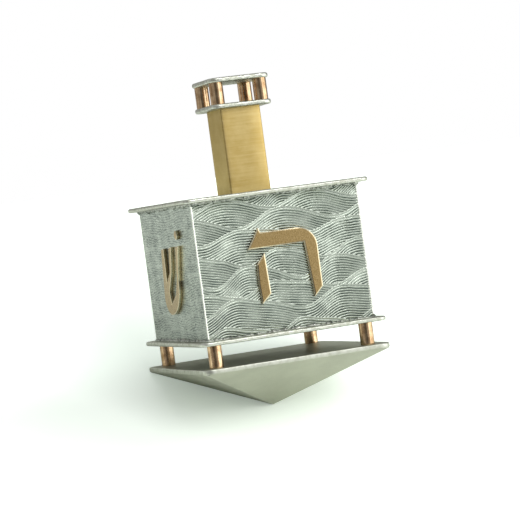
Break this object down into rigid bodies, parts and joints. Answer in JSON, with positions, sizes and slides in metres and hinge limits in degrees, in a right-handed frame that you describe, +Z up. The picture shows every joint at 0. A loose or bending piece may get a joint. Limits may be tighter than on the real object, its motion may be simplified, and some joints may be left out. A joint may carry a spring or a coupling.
{
  "type": "dreidel",
  "caption": "Metal dreidel: a square case with raised letters stands on posts above a pyramid point, with a square tube handle under a small posted cap.",
  "frame": {"origin": "the tip of the point, which it spins on, on the surface that it lies on", "axes": "+Z up, as it lies on the back facet of its point; the handle leans back towards +Y, the he side faces -Y and +X is to the right of it"},
  "size_m": [0.0446, 0.0566, 0.0714],
  "materials": {
    "pewter": "satin pewter with dark patina in its relief",
    "brass": "sanded brass",
    "copper": "rubbed copper rod"
  },
  "bodies": {
    "root": {"point_facet_front": "pewter", "point_facet_right": "pewter", "point_facet_back": "pewter", "point_facet_left": "pewter", "point_deck": "pewter", "lower_post_front_left": "copper", "lower_post_front_right": "copper", "lower_post_back_right": "copper", "lower_post_back_left": "copper", "case_floor": "pewter", "case_wall_front": "pewter", "case_wall_right": "pewter", "case_wall_back": "pewter", "case_wall_left": "pewter", "letter_he_arch": "brass", "letter_he_leg": "brass", "letter_gimel": "brass", "letter_nun": "brass", "letter_shin": "brass", "letter_shin_dot": "brass", "case_roof": "pewter", "handle": "brass", "cap_floor": "pewter", "cap_post_front_left": "copper", "cap_post_front_right": "copper", "cap_post_back_right": "copper", "cap_post_back_left": "copper", "cap_roof": "pewter"}
  },
  "joints": []
}
